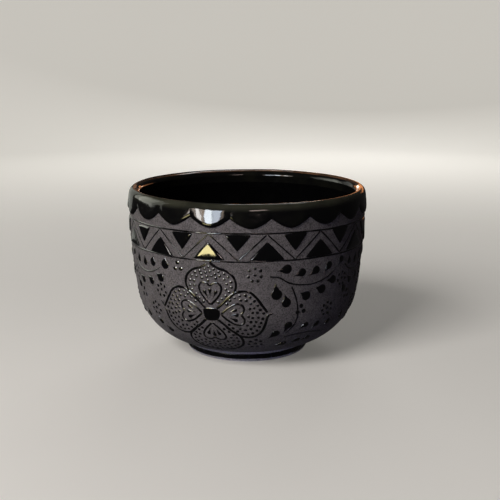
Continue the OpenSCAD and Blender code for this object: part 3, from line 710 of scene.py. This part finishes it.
# ------------------------------------------------------------------------------------------
# Zigzag band
# ------------------------------------------------------------------------------------------
FLOWERS, FLOWER_TURN, FLOWER_V = 3, -17.0, 40.6
PERIODS = 14
PERIOD = 360 / PERIODS
UPPER_V, LOWER_V = 82.8, 68.7
UPPER_LINE_W, LOWER_LINE_W, ZIGZAG_W, LINE_T = 0.95, 0.9, 0.85, 0.24
LOWER_TRIANGLE, UPPER_TRIANGLE = (17.6, 9.4), (13.2, 8.7)
TRIANGLE_T, TRIANGLE_SHOULDER, TRIANGLE_GAP = 0.62, 1.4, 0.55
TIP_CUT, BASE_CUT, SIDE_BOW = 1.0, 1.5, 0.14
repeats = [FLOWER_TURN + i * 360 / FLOWERS for i in range(FLOWERS)]
band_turns = [FLOWER_TURN + i * PERIOD for i in range(PERIODS)]


def ring_line(v, width):
    az = np.arange(0, 360, 1.0)
    wander = waves(((0.10, 5, v), (0.06, 13, 2 * v)), np.radians(az))
    path = np.stack([az, v + wander], -1)
    return bead(path, width, LINE_T, closed=True, step=0.55, uneven=0.14)


def zigzag():
    made = []
    for az in band_turns:
        for side in (-1, 1):
            top = [az + 0.12 * side, UPPER_V - 0.5]
            foot = [az + side * PERIOD / 2 + rng.uniform(-0.2, 0.2), LOWER_V + 0.5]
            middle = [(top[0] + foot[0]) / 2 + rng.uniform(-0.25, 0.25), (top[1] + foot[1]) / 2]
            made.append(bead(smooth_line([top, middle, foot]), ZIGZAG_W, LINE_T, uneven=0.2))
    return made


def triangle(width, height, up):
    """Triangle in mm with its base on y = 0, its corners round and its sides slightly bowed."""
    corners = np.array([[-width / 2, 0.0], [width / 2, 0.0], [0.0, height * up]])
    corners = corners + rng.normal(0, 0.16, corners.shape)
    if up < 0:
        corners = corners[::-1]
    out = []
    for k in range(3):
        a, b, c = corners[k - 1], corners[k], corners[(k + 1) % 3]
        length = np.linalg.norm(c - b)
        u, w = (a - b) / np.linalg.norm(a - b), (c - b) / length
        cut = TIP_CUT if abs(b[1]) > height / 2 else BASE_CUT
        for t in np.linspace(0, 1, 7):
            out.append(b + u * cut * (1 - t) ** 2 + w * cut * t**2)
        for t in np.linspace(0, 1, 15)[1:-1]:
            bow = SIDE_BOW * math.sin(math.pi * t) * np.array([w[1], -w[0]])
            out.append(b + w * (cut + (length - 2 * cut) * t) + bow)
    return np.array(out)


def band_triangles(v, size, up, shift):
    made = []
    for az in band_turns:
        width, height = (side * (1 + rng.uniform(-0.03, 0.03)) for side in size)
        made.append(mound(az + shift, v, triangle(width, height, up), TRIANGLE_T,
                          TRIANGLE_SHOULDER, centre=(0, up * size[1] * 0.38), crown=0.03,
                          sag=0.02, level=0.7))
    return made


piece("upper_band_line", [ring_line(UPPER_V, UPPER_LINE_W)], trailed_glaze)
piece("lower_band_line", [ring_line(LOWER_V, LOWER_LINE_W)], trailed_glaze)
piece("zigzag_line", zigzag(), trailed_glaze)
piece("lower_triangles", band_triangles(LOWER_V + TRIANGLE_GAP, LOWER_TRIANGLE, 1, 0),
      trailed_glaze)
piece("upper_triangles", band_triangles(UPPER_V - TRIANGLE_GAP, UPPER_TRIANGLE, -1, PERIOD / 2),
      trailed_glaze)

# ------------------------------------------------------------------------------------------
# Flowers. Each petal is drawn pointing up from the flower's centre, in mm: the right-hand
# side of its outline, the mirrored left-hand one, and the flick of the line past its tip.
# ------------------------------------------------------------------------------------------
SHORT_SIDE = [(3.5, 3.6), (6.3, 6.1), (9.4, 8.9), (12.2, 12.2), (13.3, 16.2), (12, 20.4),
              (8.6, 23.2), (4.4, 24.6), (0.7, 27)]
SLIM_SIDE = [(3.5, 3.8), (6.2, 6.2), (9.2, 9), (11.8, 12.4), (12.8, 16.4), (12.2, 20),
             (9.6, 23), (5.6, 25.6), (0.7, 28.6)]
FULL_SIDE = [(3.5, 3.9), (6.9, 7.2), (10.4, 10.3), (13.2, 13.4), (14.2, 17), (13.4, 20.8),
             (10.8, 24), (6.4, 26.6), (0.7, 28.6)]
HEART_SIDE = [(0, 4.9), (1.8, 6.8), (3.7, 9), (5.4, 11.8), (5.9, 14.3), (4.8, 16.3),
              (2.8, 16.8), (0.9, 15.9), (0, 14.7)]
PETALS = {
    "top": (0, SHORT_SIDE, SHORT_SIDE, [(1.2, 28.4), (2.6, 28.5), (3.4, 27.2)]),
    "right": (-90, FULL_SIDE, SLIM_SIDE, [(-0.1, 30), (-0.7, 31.6)]),
    "bottom": (180, FULL_SIDE, FULL_SIDE, [(0.3, 29.4), (-0.6, 30.2)]),
    "left": (90, SLIM_SIDE, FULL_SIDE, [(1.2, 29.8), (3, 31.8)]),
}
PETAL_ROOT = (2.8, 2.9)
PETAL_MIDDLE = np.array([0.0, 15.5])
# The left-hand side starts where it meets the line of the next petal
SHARED_POINTS, SIDE_START_SHIFT, SIDE_END_SHIFT = 1, [0.1, 0.3], [-0.3, -0.1]
PETAL_W, PETAL_T, HEART_W = 1.45, LINE_T + 0.05, 1.2
SEEDS = [(-2.9, 12.2), (0.0, 13.0), (2.9, 12.2)]
SEED_AIM = np.array([0.0, 5.6])
SEED_HEAD, SEED_T, SEED_SHOULDER = 1.0, LINE_T + 0.14, 0.95
DOT_R, DOT_T, DOT_PITCH, DOT_ROWS, DOT_ROW_GAP = 0.9, 0.26, 2.8, 4, 2.2
EDGE_SPACE, HEART_SPACE, ROW_SPACE = 0.65, 0.25, 0.4
CENTRE_W, CENTRE_H, CENTRE_SQUARE, CENTRE_SHIFT = 4.4, 3.6, 0.65, -0.2
CENTRE_T, CENTRE_SHOULDER = 0.26, 0.8


def flip(line):
    return [(-x, y) for x, y in line]


def to_wall(points, angle, az):
    """Points in mm round a flower's centre, as (az, v)."""
    p = turned(points, angle)
    v = FLOWER_V + p[:, 1]
    return np.stack([az + np.degrees(p[:, 0] / radius_at(v)), v], -1)


def spaced(line, pitch, start):
    ring = np.concatenate([line, line[:1]])
    s = np.concatenate([[0], np.cumsum(np.linalg.norm(np.diff(ring, axis=0), axis=1))])
    count = max(1, round(s[-1] / pitch))
    t = (np.arange(count) + start) * s[-1] / count
    return np.stack([np.interp(t, s, ring[:, k]) for k in (0, 1)], -1)


def is_inside(points, line):
    a, b = line, np.roll(line, -1, 0)
    crosses = (a[:, 1] > points[:, None, 1]) != (b[:, 1] > points[:, None, 1])
    rise = np.where(np.abs(b[:, 1] - a[:, 1]) < 1e-9, 1e-9, b[:, 1] - a[:, 1])
    x = a[:, 0] + (b[:, 0] - a[:, 0]) * (points[:, None, 1] - a[:, 1]) / rise
    return (crosses & (points[:, None, 0] < x)).sum(1) % 2 == 1


def dot_rows(right, left):
    """Rows of dots that follow the petal's edge inwards and leave out the heart."""
    edge = np.concatenate([smooth_line(right, 3), smooth_line(flip(left), 3)[::-1]])
    heart = np.array([*HEART_SIDE, *flip(HEART_SIDE)[::-1]], float)
    half_length = PETAL_MIDDLE[1] - edge[0, 1]
    from_edge, from_heart = DOT_R + EDGE_SPACE, DOT_R + HEART_W / 2 + HEART_SPACE
    kept = []
    for k in range(DOT_ROWS):
        shrink = 1 - (DOT_ROW_GAP * k + from_edge + ROW_SPACE) / half_length
        row = spaced(PETAL_MIDDLE + (edge - PETAL_MIDDLE) * shrink, DOT_PITCH,
                     0.5 if k % 2 == 0 else 0.0)
        clear = ~is_inside(row, heart) & (distance_to(heart, row) > from_heart)
        clear &= distance_to(edge, row) > from_edge
        kept.append(row[clear])
    return np.concatenate(kept)


def petal_outline(right, left, flick, angle, az):
    first = smooth_line([PETAL_ROOT, *right[1:], *flick])
    second = np.array(flip(left[SHARED_POINTS:]), float)
    second[0] += SIDE_START_SHIFT
    second[-1] += SIDE_END_SHIFT
    return [bead(to_wall(first, angle, az), PETAL_W, PETAL_T, tail=3.0),
            bead(to_wall(smooth_line(second), angle, az), PETAL_W, PETAL_T)]


def heart_outline(angle, az):
    return [bead(to_wall(smooth_line(side), angle, az), HEART_W, LINE_T)
            for side in (HEART_SIDE, flip(HEART_SIDE))]


def heart_seeds(angle, az):
    """Drops with their heads in the heart and their tips drawn towards its point."""
    made = []
    for seed in SEEDS:
        seed = np.array(seed) + rng.normal(0, 0.12, 2)
        place, aim = turned([seed, SEED_AIM - seed], angle)
        v = FLOWER_V + place[1]
        outline = drop_outline(math.degrees(math.atan2(aim[1], aim[0])), rng.uniform(5.2, 6.2),
                               SEED_HEAD)
        made.append(mound(az + math.degrees(place[0] / radius_at(v)), v, outline, SEED_T,
                          SEED_SHOULDER))
    return made


def centre_outline():
    """Squarish patch with an uneven edge."""
    a = np.radians(np.arange(0, 360, 9.0))
    x, y = (np.sign(f) * np.abs(f) ** CENTRE_SQUARE for f in (np.cos(a), np.sin(a)))
    uneven = 1 + 0.05 * np.sin(3 * a + math.radians(40)) + 0.03 * np.sin(5 * a)
    return np.stack([CENTRE_W * x, CENTRE_H * y + CENTRE_SHIFT], -1) * uneven[:, None]


for name, (angle, right, left, flick) in PETALS.items():
    outlines, hearts, seeds, dots = [], [], [], []
    for az in repeats:
        outlines += petal_outline(right, left, flick, angle, az)
        hearts += heart_outline(angle, az)
        seeds += heart_seeds(angle, az)
        dots.append(to_wall(dot_rows(right, left), angle, az))
    piece(f"{name}_petal_outlines", outlines, trailed_glaze)
    piece(f"{name}_hearts", hearts, trailed_glaze)
    piece(f"{name}_heart_seeds", seeds, trailed_glaze)
    piece(f"{name}_petal_dots", [domes(np.concatenate(dots), DOT_R, DOT_T)], dot_glaze)

piece("flower_centres", [mound(az, FLOWER_V, centre_outline(), CENTRE_T, CENTRE_SHOULDER,
                               crown=0.05) for az in repeats], trailed_glaze)

# ------------------------------------------------------------------------------------------
# Vines, rosettes and groups of dots. Places are (degrees from the flower, v), and a leaf
# adds the angle it points at, its reach and the radius of its head.
# ------------------------------------------------------------------------------------------
STEMS = {
    "wave_stems": [
        [(27.1, 60.8), (31.6, 60), (36.4, 56.9), (42.6, 55.3), (48.5, 55.1), (54.8, 56.5),
         (59.5, 58.7), (63.4, 62)],
        [(69.5, 62.2), (72.6, 59.6), (77, 57.8), (83.2, 57.6), (88.7, 59.4), (93.2, 62)]],
    "drop_stems": [
        [(37.5, 55), (39.4, 50.6), (41, 45.5), (41.8, 40), (41.6, 36.2), (40.2, 32.3),
         (37, 27.8)]],
    "low_stems": [
        [(36.5, 25), (42, 26.3), (49, 26.6), (57, 25.6), (64, 23.6)]],
}
LEAVES = {
    "crest_leaves": [
        (35, 64.3, 193, 4.6, 2.2), (42.5, 61.9, 200, 4.2, 1.9), (50, 62.2, 213, 4.9, 1.9),
        (57.7, 63.6, 226, 4.6, 1.8), (73.8, 62.8, 96, 3.1, 1.6), (80.5, 62.4, 89, 3.2, 1.7),
        (87.5, 63.6, 81, 3.2, 2)],
    "hanging_leaves": [
        (45.5, 49.1, 150, 3.9, 2.2), (54.3, 51.4, 171, 4.2, 2.2), (61.1, 55.3, 184, 4.2, 2),
        (71, 48.4, 120, 3.2, 1.8), (76.5, 52, 141, 3.8, 1.7), (84.8, 53, 146, 3.8, 1.9),
        (92.4, 56.2, 155, 3.7, 2.1)],
    "side_leaves": [
        (30.6, 51.2, 98, 5.5, 2.5), (35.5, 46.4, 102, 4.6, 2.2), (37.6, 33.4, 246, 4.3, 1.9),
        (31.7, 28.5, 228, 4.8, 1.9)],
    "low_leaves": [
        (47.7, 32.2, 211, 4, 1.5), (55, 31.5, 217, 3.9, 1.5), (63.4, 31, 221, 3.6, 1.5),
        (74.7, 31.7, 100, 3.4, 1.4), (85.4, 29.6, 112, 3.2, 1.6), (91, 25.2, 135, 3.2, 1.6)],
    "base_leaves": [
        (38, 19, 201, 4.4, 1.7), (46.4, 20.6, 197, 4, 1.6), (53.2, 21.6, 210, 3.4, 1.4)],
    "vine_tip_drops": [(66.3, 65.3, 230, 3.4, 1.7), (96.2, 63.9, 84, 3.4, 2.3)],
}
ROSETTES = [(20.6, 61.9), (92.1, 49.4), (85.5, 38.1), (59.4, 39.7), (68.2, 54.6), (21.6, 20.7)]
TRIOS = [(43.2, 41.8), (75, 44.4), (104, 64)]
STEM_W = 0.85
LEAF_T, LEAF_WIDER, LEAF_SHOULDER = 0.45, 1.14, 0.9
ROSETTE_DOTS, ROSETTE_R, ROSETTE_DOT_R = 7, 3.3, DOT_R + 0.06
TRIO_DOTS, TRIO_R, TRIO_DOT_R, TRIO_DOT_T = 3, 2.1, DOT_R * 1.35, DOT_T * 1.3


def leaf(az, turn, v, angle, reach, head):
    outline = drop_outline(angle + rng.uniform(-5, 5), reach * rng.uniform(1.08, 1.24),
                           head * LEAF_WIDER, bend=rng.uniform(-0.08, 0.08))
    return mound(az + turn, v, outline, LEAF_T, head * LEAF_SHOULDER)


def dot_ring(place, count, radius, az):
    a = np.radians(90 + np.arange(count) * 360 / count)
    return np.stack([az + place[0] + np.degrees(radius * np.cos(a) / radius_at(place[1])),
                     place[1] + radius * np.sin(a)], -1)


def rosette(place, az):
    ring = dot_ring(place, ROSETTE_DOTS, ROSETTE_R, az)
    return np.concatenate([ring, [[az + place[0], place[1]]]])


for name, lines in STEMS.items():
    piece(name, [bead(smooth_line(np.array(line) + [az, 0]), STEM_W, LINE_T, uneven=0.16,
                      tail=5.0) for az in repeats for line in lines], trailed_glaze)
for name, places in LEAVES.items():
    piece(name, [leaf(az, *place) for az in repeats for place in places], trailed_glaze)

rosettes = np.concatenate([rosette(place, az) for az in repeats for place in ROSETTES])
trios = np.concatenate([dot_ring(place, TRIO_DOTS, TRIO_R, az)
                        for az in repeats for place in TRIOS])
piece("dot_rosettes", [domes(rosettes, ROSETTE_DOT_R, DOT_T)], dot_glaze)
piece("dot_trios", [domes(trios, TRIO_DOT_R, TRIO_DOT_T)], dot_glaze)

# ------------------------------------------------------------------------------------------
# Stage, lights and camera
# ------------------------------------------------------------------------------------------
PAPER = (0.80, 0.785, 0.75)
GLOW, GLOW_NEAR, GLOW_FAR = (1.0, 0.965, 0.87, 1.0), 0.12, 0.42
SWEEP_R, SWEEP_COVE, SWEEP_H, SWEEP_SEGMENTS = 1500.0, 400.0, 1500.0, 128


def sweep_material(name, colour):
    """Pale paper. Its soft glow grows outwards, so that the far side is as pale as a lit wall."""
    n = Nodes(name)
    shade = tuple(c * 0.93 for c in colour)
    n.link(n.blend(n.spread(n.noise(6, detail=3), 0.3, 0.7, 0.0, 0.25), colour, shade),
           n.shader.inputs["Base Color"])
    _, radius = n.height_and_radius()
    n.link(n.spread(radius, 0.1, 1.0, GLOW_NEAR, GLOW_FAR), n.shader.inputs["Emission Strength"])
    n.set(Roughness=0.85, Specular_IOR_Level=0.0, Emission_Color=GLOW)
    return n.material


cove = np.linspace(0, math.pi / 2, 24)
sweep_line = stack(
    ([0.0, 300.0, 700.0], 0.0),
    (SWEEP_R - SWEEP_COVE + SWEEP_COVE * np.sin(cove), SWEEP_COVE - SWEEP_COVE * np.cos(cove)),
    ([SWEEP_R], SWEEP_H),
)
stage = shaped("backdrop", [revolve(sweep_line, SWEEP_SEGMENTS)],
               sweep_material("backdrop", PAPER))
# The table in the photograph is dark, so the pale floor lights neither the clay nor the glaze
stage.visible_diffuse = False
stage.visible_glossy = False

LIGHT_TARGET = Vector((0, 0, 0.05))
# Name, surface, azimuth, elevation, distance, width, height, radiance and colour. The lights
# for the clay shape it and don't show in the glaze. Those for the glaze are what it
# reflects: a window with six panes, and bright things round it.
LIGHTS = (
    ("key", "clay", -38, 35, 1.2, 0.6, 0.5, 11.3, (1.0, 0.965, 0.94)),
    ("window_1", "glaze", -50.5, 7, 1.1, 0.07, 0.28, 9, (1.0, 0.86, 0.74)),
    ("window_2", "glaze", -45.5, 7, 1.1, 0.09, 0.30, 34, (1.0, 0.97, 0.93)),
    ("window_3", "glaze", -40.5, 7, 1.1, 0.08, 0.26, 11, (1.0, 0.80, 0.62)),
    ("window_4", "glaze", -34.5, 7, 1.1, 0.13, 0.29, 44, (0.87, 0.94, 1.0)),
    ("window_5", "glaze", -27.0, 8, 1.1, 0.13, 0.24, 26, (0.80, 0.88, 1.0)),
    ("window_6", "glaze", -21.0, 9, 1.1, 0.06, 0.16, 7, (1.0, 0.80, 0.62)),
    ("low_card", "glaze", -36, -6.4, 0.27, 0.066, 0.030, 21, (1.0, 0.87, 0.42)),
    ("pink_card", "glaze", 11, 14.5, 1.1, 0.26, 0.045, 32, (1.0, 0.78, 0.72)),
    ("back", "glaze", 168, 58, 0.9, 0.42, 0.10, 12, (0.95, 0.97, 1.0)),
    ("left_card", "glaze", -104, 17, 1.0, 0.7, 0.5, 1.6, (0.98, 1.0, 0.88)),
    ("left_side_card", "glaze", -115, 20, 0.98, 0.6, 0.6, 1.4, (0.98, 1.0, 0.88)),
    ("left_back_card", "glaze", -150, 8, 1.0, 0.5, 0.7, 0.45, (0.97, 1.0, 0.90)),
    ("warm_right", "glaze", 160, 16, 0.32, 0.26, 0.035, 1.7, (1.0, 0.38, 0.14)),
    ("warm_core", "glaze", 171, 15, 0.32, 0.03, 0.02, 7.0, (1.0, 0.85, 0.70)),
    ("warm_left", "glaze", -165, 16, 0.32, 0.06, 0.03, 0.4, (1.0, 0.50, 0.28)),
    ("blue_fill", "clay", -12, -3, 0.6, 0.5, 0.06, 4.6, (0.52, 0.52, 1.0)),
    ("back_fill", "clay", 172, 24, 1.2, 0.6, 0.5, 3.0, (1.0, 0.985, 0.97)),
)


def softbox(name, surface, azimuth, elevation, distance, width, height, radiance, colour):
    """Area light that faces the bowl, at an azimuth from -Y towards +X."""
    light = bpy.data.lights.new(name, "AREA")
    light.shape = "RECTANGLE"
    light.size, light.size_y = width, height
    light.energy = radiance * math.pi * width * height
    light.color = colour
    obj = bpy.data.objects.new(name, light)
    a, e = math.radians(azimuth), math.radians(elevation)
    way = Vector((math.sin(a) * math.cos(e), -math.cos(a) * math.cos(e), math.sin(e)))
    obj.location = LIGHT_TARGET + distance * way
    obj.rotation_euler = (LIGHT_TARGET - obj.location).to_track_quat("-Z", "Y").to_euler()
    obj.visible_diffuse = surface == "clay"
    obj.visible_glossy = surface == "glaze"
    obj.visible_camera = False
    bpy.context.scene.collection.objects.link(obj)


for row in LIGHTS:
    softbox(*row)

world = bpy.data.worlds.new("studio")
bpy.context.scene.world = world
world.use_nodes = True
sky = world.node_tree.nodes["Background"]
sky.inputs["Color"].default_value = (1.0, 0.93, 0.93, 1.0)
sky.inputs["Strength"].default_value = 0.028

LENS, SENSOR = 64.07496, 36.0
CAMERA_PLACE, CAMERA_DOWN, CAMERA_TURN = (0.0006, -0.488, 0.159), 12.12, -0.002
camera_data = bpy.data.cameras.new("camera")
camera_data.sensor_width = SENSOR
camera_data.lens = LENS
camera = bpy.data.objects.new("camera", camera_data)
camera.location = CAMERA_PLACE
camera.rotation_euler = (math.radians(90 - CAMERA_DOWN), 0.0, CAMERA_TURN)
bpy.context.scene.collection.objects.link(camera)
bpy.context.scene.camera = camera
bpy.context.scene.view_settings.view_transform = "Standard"
